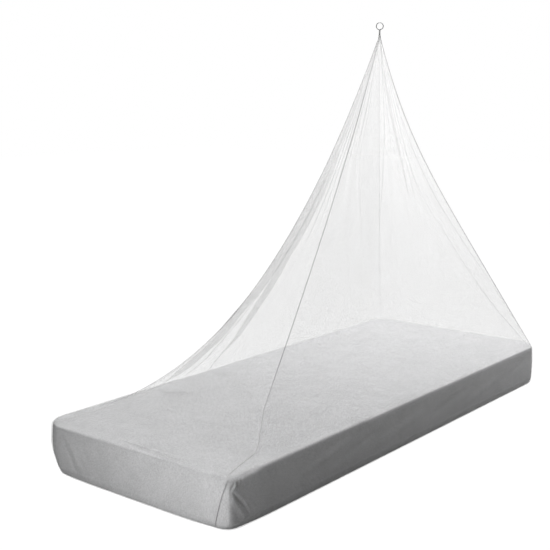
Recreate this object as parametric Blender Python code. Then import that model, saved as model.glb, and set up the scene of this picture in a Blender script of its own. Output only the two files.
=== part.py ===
"""Mosquito net canopy over a single mattress.

Four net panels hang from one ring, fan out along four bound seams, lie over the edge of the
mattress and are tucked under it. Metres, +Z up. The origin is on the floor under the middle of
the mattress, +X points to the head end and +Y to the left side seen from the foot end.
"""

import math

import bmesh
import bpy
import numpy as np

# Mattress
MATTRESS_LENGTH = 1.985
MATTRESS_WIDTH = 0.807
MATTRESS_TOP = 0.165
CORNER_RADIUS = 0.095
TOP_EDGE_RADIUS = 0.032
BOTTOM_EDGE_RADIUS = 0.040
SIDE_BULGE = 0.004
CORNER_STEPS = 8
TOP_RIM_INSET = 0.048
RECESS_INSET = 0.086

# Net cloth
NET_THICKNESS = 0.0012
EDGE_CLEARANCE = 0.002
PIECE_GAP = 0.0003
TUCK_DEPTH = 0.080

# Place where the panels come together
NECK_X = 0.338
NECK_RADIUS = 0.0027
NECK_MOUTH_Z = 1.397
NECK_TOP_Z = 1.4085
SPLAY_Z = 1.3935
NECK_PANEL_SHARE = 0.86
GATHER_MARGIN = 0.7

# Bound seams
SEAM_WING = 0.0026
SEAM_THICKNESS = 0.0012
SEAM_WING_LIFT = 0.0005
SEAM_LINE_GAP = 0.00045
SEAM_NECK_SLACK = 5.0
SEAM_NECK_REACH = 0.03
SEAM_START_Z = 1.395
SEAM_END_Z = 0.018
SEAM_WIDTH_LIMIT = 0.10
MITRE_LIMIT = 1.7

# Binding, loop and ring
BINDING_WALL = 0.0013
BINDING_TOP_Z = 1.4185
BINDING_FLARE = 0.0007
BINDING_SIDES = 16
BINDING_PROFILE = (
    # share of the height, share of the flare
    (0.00, 1.0),
    (0.15, 1.0),
    (0.40, 0.0),
    (0.80, -0.3),
    (1.00, -1.0),
)
LOOP_TAPE_WIDTH = 0.0062
LOOP_TAPE_THICKNESS = 0.0010
LOOP_FOOT_Z = 1.4095
LOOP_FOOT_HALF_GAP = 0.0005
LOOP_SLACK = 0.0008
LOOP_SPREAD_RISE = 0.002
LOOP_TOP_STEPS = 8
LOOP_FOOT_STEPS = 4
RING_RADIUS = 0.0133
RING_WIRE_RADIUS = 0.0017
RING_CENTRE_Z = 1.4540
RING_TURN = math.radians(-57.0)
RING_SEGMENTS = 24
RING_WIRE_SIDES = 8

# Rows of the net, from the neck down: share of the free fall, then the stretch on the mattress
FALL_ROWS = (0.0, 0.02, 0.055, 0.11, 0.18, 0.26, 0.35, 0.45, 0.56, 0.67, 0.78, 0.89, 1.0)
# Share of the fall over which the columns spread from even spacing to their places on the bed
SPREAD_START = 0.04
SPREAD_END = 0.40
EDGE_ARC_STEPS = 3
SIDE_ROWS = 2

# Least share of the fall that runs square to the mattress's side
LEAST_SLANT = 0.25
# Step along the cloth for its slope, as a share of the panel and of the fall
SLOPE_STEP = 0.004

# Finishes: linear base colour, roughness, metallic
NET_FINISH = ((0.86, 0.87, 0.88), 0.85, 0.0)
TAPE_FINISH = ((0.55, 0.56, 0.57), 0.80, 0.0)
SHEET_FINISH = ((0.60, 0.60, 0.61), 0.90, 0.0)
METAL_FINISH = ((0.62, 0.63, 0.64), 0.30, 1.0)

# Sides of the bed, counter-clockwise from above. out and along are unit vectors in plan, and
# reach is the size of the mattress that out measures.
SIDES = {
    "foot": {"out": (-1.0, 0.0), "along": (0.0, -1.0), "reach": "length"},
    "right": {"out": (0.0, -1.0), "along": (1.0, 0.0), "reach": "width"},
    "head": {"out": (1.0, 0.0), "along": (0.0, 1.0), "reach": "length"},
    "left": {"out": (0.0, 1.0), "along": (-1.0, 0.0), "reach": "width"},
}

SEAM_NAMES = {
    ("foot", "right"): "seam_foot_right",
    ("right", "head"): "seam_head_right",
    ("head", "left"): "seam_head_left",
    ("left", "foot"): "seam_foot_left",
}

# How each panel falls. share: place along the panel from its first seam to its second.
# lie: length that lies on the mattress before the edge. grip: 0 lands on the flat top, 1 lands
# on the rounded edge without a kink. straight: 1 is a taut line from the neck. power: how fast
# the rest of the fall sags away from that line.
FALL = {
    "foot": (
        # share, lie, grip, straight, power
        (0.00, 0.004, 0.0, 0.06, 2.30),
        (0.25, 0.120, 0.0, 0.12, 2.40),
        (0.55, 0.150, 0.0, 0.26, 2.50),
        (0.85, 0.140, 0.0, 0.62, 2.80),
        (1.00, 0.125, 0.0, 0.88, 3.00),
    ),
    "right": (
        (0.00, 0.125, 0.0, 0.88, 3.00),
        (0.08, 0.040, 0.0, 0.74, 3.00),
        (0.20, 0.006, 0.3, 0.64, 3.00),
        (0.35, 0.004, 1.0, 0.57, 3.00),
        (0.67, 0.004, 1.0, 0.54, 3.00),
        (0.88, 0.004, 1.0, 0.62, 3.40),
        (1.00, 0.004, 1.0, 0.88, 5.80),
    ),
    "head": (
        (0.00, 0.004, 1.0, 0.88, 5.80),
        (0.20, 0.004, 1.0, 0.68, 3.60),
        (0.50, 0.004, 1.0, 0.64, 3.40),
        (0.80, 0.004, 1.0, 0.68, 3.60),
        (1.00, 0.004, 1.0, 0.88, 5.80),
    ),
    "left": (
        (0.00, 0.004, 1.0, 0.88, 5.80),
        (0.12, 0.004, 1.0, 0.62, 3.40),
        (0.33, 0.004, 1.0, 0.54, 3.00),
        (0.50, 0.004, 1.0, 0.48, 2.70),
        (0.60, 0.004, 1.0, 0.40, 2.40),
        (0.72, 0.006, 0.6, 0.26, 2.30),
        (0.86, 0.004, 0.3, 0.12, 2.28),
        (1.00, 0.004, 0.0, 0.06, 2.30),
    ),
}

# Folds that run down the panels. share: place along the panel. width: half width as a share of
# the panel. lift: height off the panel. The fold grows from start to full and dies out from
# fade to end, all as shares of the free fall. A standing fold rises like an S.
FOLDS = {
    "foot": (
        # share, width, lift, start, full, fade, end, standing
        (0.34, 0.060, 0.010, 0.10, 0.35, 0.60, 0.95, False),
    ),
    "right": (
        (0.420, 0.014, 0.008, 0.10, 0.30, 0.55, 0.85, False),
        (0.520, 0.014, -0.008, 0.12, 0.32, 0.50, 0.80, False),
        (0.690, 0.022, 0.010, 0.03, 0.12, 0.24, 0.46, True),
        (0.830, 0.016, 0.008, 0.10, 0.30, 0.60, 0.95, False),
    ),
    "head": (
        (0.30, 0.040, 0.008, 0.10, 0.30, 0.55, 0.90, False),
        (0.66, 0.040, -0.008, 0.12, 0.35, 0.55, 0.85, False),
    ),
    "left": (
        (0.200, 0.018, -0.008, 0.10, 0.30, 0.55, 0.85, False),
        (0.660, 0.045, 0.009, 0.05, 0.22, 0.55, 0.96, True),
        (0.850, 0.050, 0.009, 0.05, 0.22, 0.50, 0.94, True),
    ),
}

# Plain columns of each panel between its corners, and round each half corner
PLAIN_COLUMNS = {"foot": 5, "right": 8, "head": 4, "left": 8}
HALF_CORNER_COLUMNS = 3

# Section of a fold, in half widths along the panel and in lifts off it
SOFT_FOLD = (
    # along, off
    (-1.0, 0.0),
    (0.0, 1.0),
    (1.0, 0.0),
)
STANDING_FOLD = (
    (-1.2, 0.0),
    (-0.5, 0.85),
    (0.0, 0.85),
    (0.0, -0.85),
    (0.5, -0.85),
    (1.2, 0.0),
)
# A fold lifts off before it closes up: power of its strength
LIFT_GROWTH = 0.6

NECK_AXIS = np.array((NECK_X, 0.0))


def smooth_step(low, high, value):
    """0 below low, 1 above high, and a soft ramp between them."""
    t = min(max((value - low) / (high - low), 0.0), 1.0)
    return t * t * (3.0 - 2.0 * t)


def table_value(rows, share, column):
    """Value of one named column of a table at a place along the panel."""
    places = [row[0] for row in rows]
    return float(np.interp(share, places, [row[column] for row in rows]))


# ---- Mattress outline and section ---------------------------------------------------------


def side_reach(side):
    """Half length along a side and distance from the middle out to it."""
    half_length = MATTRESS_LENGTH / 2
    half_width = MATTRESS_WIDTH / 2
    if SIDES[side]["reach"] == "length":
        return half_width, half_length
    return half_length, half_width


def half_runs(side):
    """Half of a side's straight run, and that with half a rounded corner added."""
    straight = side_reach(side)[0] - CORNER_RADIUS
    return straight, straight + CORNER_RADIUS * math.pi / 4


def corner_share(side):
    """Share of a panel that half a rounded corner takes up."""
    straight, total = half_runs(side)
    return (1.0 - straight / total) / 2


def outline_point(side, share):
    """Point on the mattress's outline and its outward normal, both in plan.

    share runs from the middle of one rounded corner to the middle of the next.
    """
    reach = side_reach(side)[1]
    straight, total = half_runs(side)
    travel = (2.0 * share - 1.0) * total
    out = np.array(SIDES[side]["out"])
    along = np.array(SIDES[side]["along"])
    if abs(travel) <= straight:
        return along * travel + out * reach, out
    sign = math.copysign(1.0, travel)
    angle = (abs(travel) - straight) / CORNER_RADIUS
    normal = along * sign * math.sin(angle) + out * math.cos(angle)
    centre = along * sign * straight + out * (reach - CORNER_RADIUS)
    return centre + normal * CORNER_RADIUS, normal


def bulge_at(z):
    """How far the mattress's side stands out at a height."""
    middle = MATTRESS_TOP / 2
    rise = min(abs(z - middle) / middle, 1.0)
    return SIDE_BULGE * (1.0 - rise * rise)


def edge_section(cover, start_angle=0.0):
    """Section of the mattress's edge, covered by a layer whose middle is cover away.

    Each entry is (distance out from the side, height), from the top edge to the underside.
    """
    floor_side = NET_THICKNESS + EDGE_CLEARANCE
    points = []
    for i in range(EDGE_ARC_STEPS + 1):
        angle = start_angle + (math.pi / 2 - start_angle) * i / EDGE_ARC_STEPS
        radius = TOP_EDGE_RADIUS + cover
        out = -TOP_EDGE_RADIUS + radius * math.sin(angle)
        points.append((out, MATTRESS_TOP - TOP_EDGE_RADIUS + radius * math.cos(angle)))
    upper = MATTRESS_TOP - TOP_EDGE_RADIUS
    lower = floor_side + BOTTOM_EDGE_RADIUS
    for i in range(1, SIDE_ROWS):
        points.append((cover, upper + (lower - upper) * i / SIDE_ROWS))
    for i in range(EDGE_ARC_STEPS + 1):
        angle = math.pi / 2 * i / EDGE_ARC_STEPS
        radius = BOTTOM_EDGE_RADIUS + cover
        out = -BOTTOM_EDGE_RADIUS + radius * math.cos(angle)
        points.append((out, lower - radius * math.sin(angle)))
    return [(out + bulge_at(z), z) for out, z in points]


# ---- Shape of the net's middle layer -----------------------------------------------------


def landing(side, share):
    """Where the cloth meets the mattress's rounded edge, and how steeply it arrives there."""
    rows = FALL[side]
    lie = table_value(rows, share, 1)
    grip = table_value(rows, share, 2)
    straight = table_value(rows, share, 3)
    cover = EDGE_CLEARANCE + NET_THICKNESS / 2
    point, normal = outline_point(side, share)
    start = point - normal * TOP_EDGE_RADIUS
    inward = NECK_AXIS - start
    distance = float(np.linalg.norm(inward))
    inward = inward / distance
    slant = max(LEAST_SLANT, -float(np.dot(inward, normal)))
    drop = SPLAY_Z - MATTRESS_TOP
    angle = grip * math.atan(straight * drop / (distance * slant))
    radius = TOP_EDGE_RADIUS + cover
    out = -TOP_EDGE_RADIUS + radius * math.sin(angle)
    height = MATTRESS_TOP - TOP_EDGE_RADIUS + radius * math.cos(angle)
    edge = point + normal * out
    slope = math.tan(angle) * slant
    touch = edge + inward * lie
    return angle, edge, height, touch, height + slope * lie


def neck_point(side, share):
    """Place of a panel's thread line on the gathered tube at the neck."""
    out = SIDES[side]["out"]
    middle = math.atan2(out[1], out[0])
    angle = middle + (share - 0.5) * math.pi / 2 * NECK_PANEL_SHARE
    return NECK_AXIS + NECK_RADIUS * np.array((math.cos(angle), math.sin(angle)))


def fall_point(side, share, fall):
    """Point of the free-hanging cloth at a share of its fall."""
    straight = table_value(FALL[side], share, 3)
    power = table_value(FALL[side], share, 4)
    touch, touch_z = landing(side, share)[3:]
    level = straight * (1.0 - fall) + (1.0 - straight) * (1.0 - fall) ** power
    plan = neck_point(side, share) * (1.0 - fall) + touch * fall
    return np.array((plan[0], plan[1], touch_z + (SPLAY_Z - touch_z) * level))


def thread_line(side, share):
    """Points of one thread line of a panel on the mattress, from its landing to the hem."""
    angle, edge, height, touch, touch_z = landing(side, share)
    point, normal = outline_point(side, share)
    section = edge_section(EDGE_CLEARANCE + NET_THICKNESS / 2, angle)
    section.append((-TUCK_DEPTH, NET_THICKNESS / 2))
    middle = (touch + edge) / 2
    points = [np.array((middle[0], middle[1], (touch_z + height) / 2))]
    for out, z in section:
        plan = point + normal * out
        points.append(np.array((plan[0], plan[1], z)))
    return points


def fold_columns(side):
    """Columns of a panel: (flat share, fold it belongs to, along, off)."""
    columns = []
    taken = []
    for fold in FOLDS[side]:
        shape = STANDING_FOLD if fold[7] else SOFT_FOLD
        half = fold[1] * shape[-1][0]
        taken.append((fold[0] - half, fold[0] + half))
        for i, (along, off) in enumerate(shape):
            flat = fold[0] + half * (2.0 * i / (len(shape) - 1) - 1.0)
            columns.append((flat, fold, along, off))
    corner = corner_share(side)
    for i in range(HALF_CORNER_COLUMNS + 1):
        share = corner * i / HALF_CORNER_COLUMNS
        columns += [(share, None, 0.0, 0.0), (1.0 - share, None, 0.0, 0.0)]
    count = PLAIN_COLUMNS[side]
    spare = 0.4 / count
    for i in range(1, count):
        share = corner + (1.0 - 2.0 * corner) * i / count
        if all(share < low - spare or share > high + spare for low, high in taken):
            columns.append((share, None, 0.0, 0.0))
    return sorted(columns, key=lambda column: column[0])


def fold_strength(fold, fall):
    """How much of a fold shows at a share of the fall."""
    start, full, fade, end = fold[3:7]
    return smooth_step(start, full, fall) * (1.0 - smooth_step(fade, end, fall))


def gathered_share(index, count):
    """Even place of a column along its panel where the cloth is gathered at the neck."""
    if index == 0:
        return 0.0
    if index == count - 1:
        return 1.0
    return (index + GATHER_MARGIN) / (count - 1 + 2 * GATHER_MARGIN)


def panel_grid(side):
    """Middle layer of a panel: an array of rows by columns of points."""
    columns = fold_columns(side)
    count = len(columns)
    tube = []
    for i in range(count):
        plan = neck_point(side, gathered_share(i, count))
        tube.append((plan[0], plan[1], NECK_TOP_Z))
    rows = [tube]
    flats = [column[0] for column in columns]
    gathers = [gathered_share(i, count) for i in range(count)]
    for fall in FALL_ROWS:
        spread = smooth_step(SPREAD_START, SPREAD_END, fall)
        row = []
        for flat, fold, along, off in columns:
            strength = fold_strength(fold, fall) if fold else 0.0
            place = flat
            if strength > 0.0:
                place += (fold[0] + along * fold[1] - flat) * strength
            gathered = float(np.interp(place, flats, gathers))
            share = gathered + (place - gathered) * spread
            point = fall_point(side, share, fall)
            if strength > 0.0:
                lift = off * fold[2] * strength ** LIFT_GROWTH
                point = point + cloth_normal(side, share, fall) * lift
            row.append(point)
        rows.append(row)
    on_bed = [thread_line(side, column[0]) for column in columns]
    for i in range(len(on_bed[0])):
        rows.append([line[i] for line in on_bed])
    return np.array(rows)


def cloth_normal(side, share, fall):
    """Outward normal of the smooth cloth."""
    low, high = max(share - SLOPE_STEP, 0.0), min(share + SLOPE_STEP, 1.0)
    upper, lower = max(fall - SLOPE_STEP, 0.0), min(fall + SLOPE_STEP, 1.0)
    across = fall_point(side, high, fall) - fall_point(side, low, fall)
    down = fall_point(side, share, lower) - fall_point(side, share, upper)
    normal = np.cross(down, across)
    return normal / max(float(np.linalg.norm(normal)), 1e-12)


def unit(vectors):
    """Vectors scaled to length one along the last axis."""
    length = np.linalg.norm(vectors, axis=-1, keepdims=True)
    return vectors / np.maximum(length, 1e-12)


def grid_normals(grid):
    """Outward normals of a grid of points: the mean of the strips on both sides of each line."""
    down = np.gradient(grid, axis=0)
    across = np.diff(grid, axis=1)
    before = unit(np.cross(down[:, 1:], across))
    after = unit(np.cross(down[:, :-1], across))
    normals = np.zeros_like(grid)
    normals[:, 1:] += before
    normals[:, :-1] += after
    return unit(normals)


def mitred_panels():
    """Middle points and thickness vectors of each panel, mitred where panels meet.

    Also gives each seam's ridge: its line, its outward direction and the two panels' slopes.
    """
    order = list(SIDES)
    grids = {side: panel_grid(side) for side in order}
    thick = {side: grid_normals(grids[side]) for side in order}
    seams = {}
    for i, first in enumerate(order):
        second = order[(i + 1) % len(order)]
        ridge = (grids[first][:, -1] + grids[second][:, 0]) / 2
        normal_a, normal_b = thick[first][:, -1].copy(), thick[second][:, 0].copy()
        outward = unit(normal_a + normal_b)
        down = unit(np.gradient(ridge, axis=0))
        sideways = unit(np.cross(down, outward))
        spread = np.clip((outward * normal_a).sum(-1, keepdims=True), 1 / MITRE_LIMIT, 1.0)
        thick[first][:, -1] = outward / spread
        thick[second][:, 0] = outward / spread
        half_gap = sideways * (SEAM_LINE_GAP / 2)
        slope_a = unit(grids[first][:, -2] - ridge)
        slope_b = unit(grids[second][:, 1] - ridge)
        for k in range(len(ridge)):
            if ridge[k, 2] < NECK_MOUTH_Z:
                grids[first][k, -1] = ridge[k] + half_gap[k]
                grids[second][k, 0] = ridge[k] - half_gap[k]
        seams[(first, second)] = {
            "line": ridge, "outward": outward, "spread": spread,
            "slopes": (slope_a, slope_b), "normals": (normal_a, normal_b), "down": down,
        }
    return grids, thick, seams


# ---- Meshes ------------------------------------------------------------------------------


def material(name, finish):
    """Principled material with a base colour, roughness and metallic value."""
    colour, roughness, metallic = finish
    made = bpy.data.materials.get(name)
    if made is None:
        made = bpy.data.materials.new(name)
        made.use_nodes = True
        shader = made.node_tree.nodes["Principled BSDF"]
        shader.inputs["Base Color"].default_value = (*colour, 1.0)
        shader.inputs["Roughness"].default_value = roughness
        shader.inputs["Metallic"].default_value = metallic
    return made


def mesh_object(name, vertices, faces, finish, smooth_angle=40.0):
    """Closed mesh object with outward faces."""
    mesh = bpy.data.meshes.new(name)
    mesh.from_pydata([tuple(map(float, v)) for v in vertices], [], faces)
    work = bmesh.new()
    work.from_mesh(mesh)
    bmesh.ops.recalc_face_normals(work, faces=work.faces)
    work.to_mesh(mesh)
    work.free()
    mesh.shade_smooth()
    mesh.set_sharp_from_angle(angle=math.radians(smooth_angle))
    made = bpy.data.objects.new(name, mesh)
    bpy.context.collection.objects.link(made)
    made.data.materials.append(material(name + "_finish", finish))
    return made


def swept_loops(loops, closed_path=False):
    """Vertices and faces of loops of points joined one to the next, with capped ends."""
    size = len(loops[0])
    vertices = [point for loop in loops for point in loop]
    faces = []
    count = len(loops)
    for i in range(count if closed_path else count - 1):
        start, after = i * size, (i + 1) % count * size
        for j in range(size):
            k = (j + 1) % size
            faces.append((start + j, start + k, after + k, after + j))
    if not closed_path:
        faces.append(tuple(range(size)))
        faces.append(tuple(range((count - 1) * size, count * size)))
    return vertices, faces


def sheet_mesh(middle, thickness_vectors):
    """Vertices and faces of a sheet of cloth with its middle layer given as a grid.

    Both sides of each cell are split along the same, shorter diagonal.
    """
    half = thickness_vectors * (NET_THICKNESS / 2)
    outer = (middle + half).reshape(-1, 3)
    inner = (middle - half).reshape(-1, 3)
    rows, columns = middle.shape[:2]
    shift = rows * columns
    faces = []
    for i in range(rows - 1):
        for j in range(columns - 1):
            a, b = i * columns + j, i * columns + j + 1
            c, d = b + columns, a + columns
            falling = np.linalg.norm(middle[i, j] - middle[i + 1, j + 1])
            rising = np.linalg.norm(middle[i, j + 1] - middle[i + 1, j])
            halves = [(a, b, c), (a, c, d)] if falling < rising else [(a, b, d), (b, c, d)]
            for p, q, r in halves:
                faces += [(p, q, r), (shift + r, shift + q, shift + p)]
    rim = [j for j in range(columns)]
    rim += [i * columns + columns - 1 for i in range(1, rows)]
    rim += [(rows - 1) * columns + j for j in range(columns - 2, -1, -1)]
    rim += [i * columns for i in range(rows - 2, 0, -1)]
    for a, b in zip(rim, rim[1:] + rim[:1]):
        faces.append((b, a, shift + a, shift + b))
    return np.concatenate((outer, inner)), faces


def seam_mesh(seam):
    """Bound seam: a folded tape that straddles the ridge where two panels meet."""
    loops = []
    line, outward, spread = seam["line"], seam["outward"], seam["spread"]
    for k in range(1, len(line)):
        if not SEAM_END_Z < line[k][2] < SEAM_START_Z:
            continue
        around = np.linalg.norm(line[k][:2] - NECK_AXIS)
        wing = min(SEAM_WING, SEAM_WIDTH_LIMIT * max(around, NECK_RADIUS))
        slack = PIECE_GAP * (1.0 + SEAM_NECK_SLACK * math.exp(-around / SEAM_NECK_REACH))
        lift = (NET_THICKNESS / 2 + slack) / spread[k][0]
        apex = line[k] + outward[k] * lift
        crown = apex + outward[k] * (SEAM_THICKNESS / spread[k][0])
        tips = []
        for slope, normal in zip(seam["slopes"], seam["normals"]):
            direction = slope[k] - seam["down"][k] * np.dot(slope[k], seam["down"][k])
            direction = direction / np.linalg.norm(direction)
            tip = apex + direction * wing + normal[k] * SEAM_WING_LIFT
            tips.append((tip, tip + normal[k] * SEAM_THICKNESS))
        loop = [crown, tips[0][1], tips[0][0], apex, tips[1][0], tips[1][1]]
        loops.append(loop)
    return swept_loops(loops)


def build_net():
    """The four panels and the four bound seams."""
    grids, thick, seams = mitred_panels()
    made = []
    for side, grid in grids.items():
        vertices, faces = sheet_mesh(grid, thick[side])
        made.append(mesh_object("net_panel_" + side, vertices, faces, NET_FINISH, 60.0))
    for pair, seam in seams.items():
        vertices, faces = seam_mesh(seam)
        made.append(mesh_object(SEAM_NAMES[pair], vertices, faces, TAPE_FINISH))
    return made


def build_mattress():
    """The plain mattress, with a low recess round its underside for the tucked hem."""
    section = [(-TOP_RIM_INSET, MATTRESS_TOP)]
    section += edge_section(0.0)
    section.append((-RECESS_INSET, NET_THICKNESS + PIECE_GAP))
    section.append((-RECESS_INSET, 0.0))
    shares = []
    for side in SIDES:
        corner = corner_share(side)
        half_steps = CORNER_STEPS // 2
        shares += [(side, corner * i / half_steps) for i in range(half_steps + 1)]
        shares += [(side, 1.0 - corner + corner * i / half_steps) for i in range(half_steps)]
    loops = []
    for out, z in section:
        loop = []
        for side, share in shares:
            point, normal = outline_point(side, share)
            plan = point + normal * out
            loop.append((plan[0], plan[1], z))
        loops.append(loop)
    vertices, faces = swept_loops(loops)
    return mesh_object("mattress", vertices, faces, SHEET_FINISH)


def build_neck():
    """The binding, the tape loop and the ring."""
    inner = NECK_RADIUS + NET_THICKNESS / 2 + PIECE_GAP
    outer = inner + BINDING_WALL
    height = BINDING_TOP_Z - NECK_MOUTH_Z
    profile = [(inner, NECK_MOUTH_Z)]
    for rise, flare in BINDING_PROFILE:
        profile.append((outer + flare * BINDING_FLARE, NECK_MOUTH_Z + rise * height))
    profile.append((inner, BINDING_TOP_Z))
    loops = []
    for i in range(BINDING_SIDES):
        angle = 2 * math.pi * i / BINDING_SIDES
        c, s = math.cos(angle), math.sin(angle)
        loops.append([(NECK_X + r * c, r * s, z) for r, z in profile])
    vertices, faces = swept_loops(loops, closed_path=True)
    binding = mesh_object("neck_binding", vertices, faces, TAPE_FINISH)
    return [binding, build_loop(), build_ring()]


def loop_outline(offset):
    """Outline of the loop in its own plane: (sideways, height), offset out from its inside."""
    wire_z = RING_CENTRE_Z - RING_RADIUS
    top = RING_WIRE_RADIUS + LOOP_SLACK + offset
    foot = LOOP_FOOT_HALF_GAP + offset
    foot_z = LOOP_FOOT_Z + LOOP_TAPE_THICKNESS + LOOP_FOOT_HALF_GAP
    neck_z = BINDING_TOP_Z + LOOP_SPREAD_RISE
    points = []
    for i in range(LOOP_TOP_STEPS + 1):
        angle = math.pi * i / LOOP_TOP_STEPS
        points.append((top * math.cos(angle), wire_z + top * math.sin(angle)))
    points.append((-foot, neck_z))
    for i in range(LOOP_FOOT_STEPS + 1):
        angle = math.pi + math.pi * i / LOOP_FOOT_STEPS
        points.append((foot * math.cos(angle), foot_z + foot * math.sin(angle)))
    points.append((foot, neck_z))
    return points


def build_loop():
    """Tape loop: held in the binding, and round the bottom of the ring."""
    wire, across = ring_axes()
    base = np.array((NECK_X, 0.0, 0.0))
    loops = []
    for inside, outside in zip(loop_outline(0.0), loop_outline(LOOP_TAPE_THICKNESS)):
        loop = []
        for (sideways, z), end in ((inside, -1), (inside, 1), (outside, 1), (outside, -1)):
            point = base + across * sideways + wire * end * LOOP_TAPE_WIDTH / 2
            loop.append((point[0], point[1], z))
        loops.append(loop)
    vertices, faces = swept_loops(loops, closed_path=True)
    return mesh_object("hanging_loop", vertices, faces, TAPE_FINISH, 50.0)


def ring_axes():
    """Unit vectors along the ring's plane and square to it, both level."""
    flat = np.array((math.cos(RING_TURN), math.sin(RING_TURN), 0.0))
    square = np.array((-math.sin(RING_TURN), math.cos(RING_TURN), 0.0))
    return flat, square


def build_ring():
    """Round wire ring that stands in the loop."""
    flat, square = ring_axes()
    centre = np.array((NECK_X, 0.0, RING_CENTRE_Z))
    loops = []
    for i in range(RING_SEGMENTS):
        angle = 2 * math.pi * i / RING_SEGMENTS
        outward = flat * math.cos(angle) + np.array((0.0, 0.0, math.sin(angle)))
        loop = []
        for j in range(RING_WIRE_SIDES):
            turn = 2 * math.pi * j / RING_WIRE_SIDES
            offset = outward * math.cos(turn) + square * math.sin(turn)
            loop.append(centre + outward * RING_RADIUS + offset * RING_WIRE_RADIUS)
        loops.append(loop)
    vertices, faces = swept_loops(loops, closed_path=True)
    return mesh_object("hanging_ring", vertices, faces, METAL_FINISH, 80.0)


def clear_scene():
    """Remove every object already in the file."""
    for existing in list(bpy.data.objects):
        bpy.data.objects.remove(existing, do_unlink=True)


def main():
    clear_scene()
    canopy = bpy.data.objects.new("canopy", None)
    bpy.context.collection.objects.link(canopy)
    pieces = [build_mattress()] + build_net() + build_neck()
    for piece in pieces:
        piece.parent = canopy


main()
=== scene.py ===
"""Mosquito net canopy over a single mattress: the finished pieces over the CAD frame.

Metres, +Z up. The origin is on the floor under the middle of the mattress, +X points to the head
end and +Y to the left side seen from the foot end.
"""

import math

import bmesh
import bpy
import numpy as np
from bpy.props import FloatProperty, FloatVectorProperty, IntProperty, PointerProperty
from mathutils import Euler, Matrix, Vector, noise


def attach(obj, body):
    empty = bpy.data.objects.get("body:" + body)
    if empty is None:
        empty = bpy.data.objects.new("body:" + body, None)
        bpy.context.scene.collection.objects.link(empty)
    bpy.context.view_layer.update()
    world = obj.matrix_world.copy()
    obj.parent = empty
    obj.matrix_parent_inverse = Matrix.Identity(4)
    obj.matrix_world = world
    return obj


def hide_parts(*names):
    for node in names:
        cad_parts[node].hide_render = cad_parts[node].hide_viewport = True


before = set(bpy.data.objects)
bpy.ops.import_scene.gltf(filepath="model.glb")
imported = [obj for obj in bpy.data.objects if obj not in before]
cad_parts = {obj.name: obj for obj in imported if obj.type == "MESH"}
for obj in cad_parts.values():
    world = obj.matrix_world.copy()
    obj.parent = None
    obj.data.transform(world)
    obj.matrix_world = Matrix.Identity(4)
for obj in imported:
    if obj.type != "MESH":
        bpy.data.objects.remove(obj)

bl_info = {
    "name": "Mosquito net canopy",
    "version": (1, 0, 0),
    "blender": (4, 5, 0),
    "location": "View3D > Sidebar > Canopy",
    "description": "Builds a mosquito net canopy over a single mattress",
    "category": "Add Mesh",
}

# ---- Sizes, in metres ----

# Millimetres and tenths of a millimetre in a metre, for the long tables
MILLIMETRES = 1000
TENTHS = 10000

MATTRESS_LENGTH = 1.985
MATTRESS_WIDTH = 0.807
MATTRESS_TOP = 0.165
CORNER_RADIUS = 0.095
TOP_EDGE_RADIUS = 0.032
BOTTOM_EDGE_RADIUS = 0.040
SIDE_BULGE = 0.004
RECESS_INSET = 0.086
RECESS_HEIGHT = 0.0015
# Fullness of the rounded edges: 2 is a circle, and more is squarer
EDGE_FULLNESS = 9.0
NEAR_EDGE_FULLNESS = 3.2
FOOT_FULLNESS = 5.0
NEAR_FOOT_FULLNESS = 2.6
FAR_FOOT_FULLNESS = 1.8
# The two corners of the foot end, each by the side before it and the side after it. The near one
# is square and the far one round, and both draw in towards the floor: fullness at the floor,
# fullness higher up, and the height where that begins.
NEAR_CORNER = ("foot", "right")
FAR_CORNER = ("left", "foot")
CORNER_SHAPES = {NEAR_CORNER: (3.6, 10.0, 0.050), FAR_CORNER: (1.2, 2.0, 0.105)}
CORNER_REACH = 0.11

NET_LIFT = 0.0026
NET_HEM_Z = 0.0006
TUCK_DEPTH = 0.080
UNDERSIDE_GAP = 0.0032
# The near seam drops onto the bed just before its corner, and drifts to the foot side below it
SEAM_DROP_START = 0.895
SEAM_DROP_END = 0.945
SEAM_DRIFT = 0.036

NECK_X = 0.338
NECK_RADIUS = 0.0027
NECK_TOP_Z = 1.4170
SPLAY_Z = 1.4125
NECK_PANEL_SHARE = 0.86
LEAST_SLANT = 0.25

BINDING_FOOT_Z = 1.4095
BINDING_TOP_Z = 1.4215
BINDING_WALL = 0.0013
LOOP_TAPE_WIDTH = 0.0062
LOOP_TAPE_THICKNESS = 0.0010
LOOP_FOOT_Z = 1.4125
LOOP_FOOT_HALF_GAP = 0.0005
LOOP_SLACK = 0.0008
LOOP_SPREAD_RISE = 0.002
RING_RADIUS = 0.0129
RING_WIRE_RADIUS = 0.0015
RING_CENTRE_Z = 1.4540
RING_TURN = math.radians(-57.0)

NECK_AXIS = np.array((NECK_X, 0.0))

# Steps of the mesh along the sides, away from the near corner and beside it
WIDE_STEP = 0.0095
CLOSE_STEP = 0.0012
# Rows of the net: along its fall, where it lies before the edge, and round the edge. The rows of
# the fall crowd towards the neck.
FALL_ROWS = 88
NECK_CROWDING = 0.75
CROWDING_POWER = 1.7
LIE_STEPS = 4
NET_ARC_STEPS = 10
NET_SIDE_STEPS = 14
HEM_INSETS = (0.7, 1.0)
SLOPE_STEP = 0.004
DRIFT_POWER = 0.8
# Loops of the cover: round the edge, on the top beside it, and from there to the middle
COVER_ARC_STEPS = 26
COVER_SIDE_STEPS = 20
TOP_LOOPS = 18
TOP_LOOP_STEP = 0.0017
SPINE_INSET = 0.40
MIDDLE_SHARE = 0.97
MIDDLE_POWER = 1.4
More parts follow.
